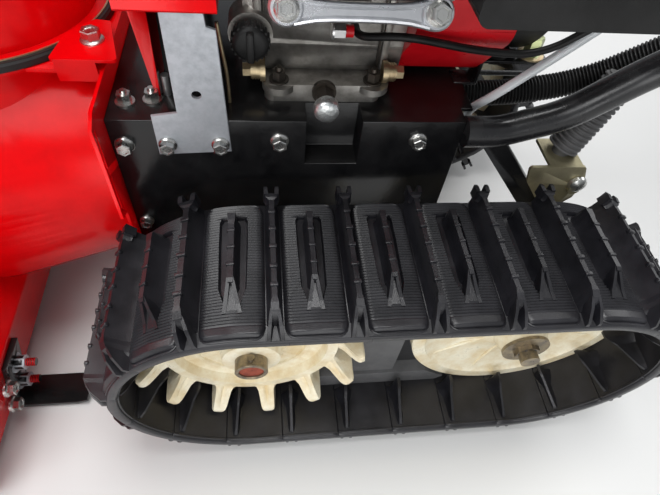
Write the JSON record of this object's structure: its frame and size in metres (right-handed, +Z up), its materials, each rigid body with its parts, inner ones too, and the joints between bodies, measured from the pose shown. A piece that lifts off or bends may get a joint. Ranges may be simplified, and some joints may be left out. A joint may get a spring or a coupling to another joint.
{
  "type": "tracked snow blower",
  "caption": "Walk-behind snow blower on two rubber tracks, with an auger housing, swivelling discharge chute, engine and handlebars.",
  "frame": {"origin": "on the ground, at the middle of the machine's length and width", "axes": "+X forward towards the auger, +Y to the machine's left, +Z up"},
  "size_m": [1.49, 0.62, 1.0156],
  "materials": {
    "red_paint": "gloss",
    "black_paint": "gloss",
    "grey_paint": "satin",
    "rubber": "matte",
    "cream_plastic": "satin",
    "black_plastic": "satin",
    "red_plastic": "gloss",
    "zinc_steel": "satin",
    "olive_zinc": "satin",
    "cast_aluminium": "satin",
    "gear_iron": "satin",
    "lamp": "gloss",
    "hose_plastic": "gloss"
  },
  "bodies": {
    "undercarriage": {"track_left": "rubber", "track_right": "rubber", "sprocket_left": "cream_plastic", "sprocket_right": "cream_plastic", "drive_axle": "zinc_steel", "idler_left": "cream_plastic", "idler_right": "cream_plastic", "track_frame_left": "grey_paint", "track_frame_right": "grey_paint", "frame_cross_tube": "black_paint"},
    "machine": {"chassis": "black_paint", "side_bracket": "zinc_steel", "drum_plate": "red_paint", "impeller_drum": "red_paint", "auger_housing": "red_paint", "scraper_bar": "zinc_steel", "skids": "black_paint", "auger_gearbox": "gear_iron", "chute_ring": "black_plastic", "ring_clips": "red_paint", "belt_cover": "red_paint", "crankcase": "cast_aluminium", "cylinder": "cast_aluminium", "valve_cover": "cast_aluminium", "fan_cover": "red_plastic", "recoil_starter": "black_plastic", "fuel_tank": "black_plastic", "muffler": "black_paint", "air_box": "black_plastic", "oil_fittings": "black_plastic", "handle_left": "black_paint", "handle_right": "black_paint", "handle_brace": "black_paint", "control_panel": "black_plastic", "headlight": "lamp", "hand_grips": "rubber", "clutch_levers": "black_plastic", "rear_legs": "black_paint", "lock_bracket": "olive_zinc", "lock_boot": "rubber", "cable_conduit": "black_plastic", "fuel_hose": "hose_plastic"},
    "auger": {"auger": "red_paint"},
    "impeller": {"impeller": "red_paint"},
    "chute": {"chute": "red_paint"},
    "deflector": {"deflector": "red_paint"}
  },
  "joints": [
    {"name": "body_tilt", "type": "hinge", "parent": "undercarriage", "child": "machine", "pos_m": [0.155, 0, 0.14199], "axis": [0, -1, 0], "range_deg": [0, 8]},
    {"name": "impeller_spin", "type": "hinge", "parent": "machine", "child": "impeller", "pos_m": [0.4, 0, 0.225], "axis": [1, 0, 0], "continuous": true},
    {"name": "auger_spin", "type": "hinge", "parent": "machine", "child": "auger", "pos_m": [0.585, 0, 0.18], "axis": [0, 1, 0], "continuous": true},
    {"name": "chute_swivel", "type": "hinge", "parent": "machine", "child": "chute", "pos_m": [0.365, 0, 0.352], "axis": [0, 0, 1], "range_deg": [-100, 100]},
    {"name": "deflector_tilt", "type": "hinge", "parent": "chute", "child": "deflector", "pos_m": [0.39426, 0, 0.57393], "axis": [0, 1, 0], "range_deg": [0, 45]}
  ],
  "couplings": [
    {"joint": "auger_spin", "follows": "impeller_spin", "ratio": 0.1}
  ]
}
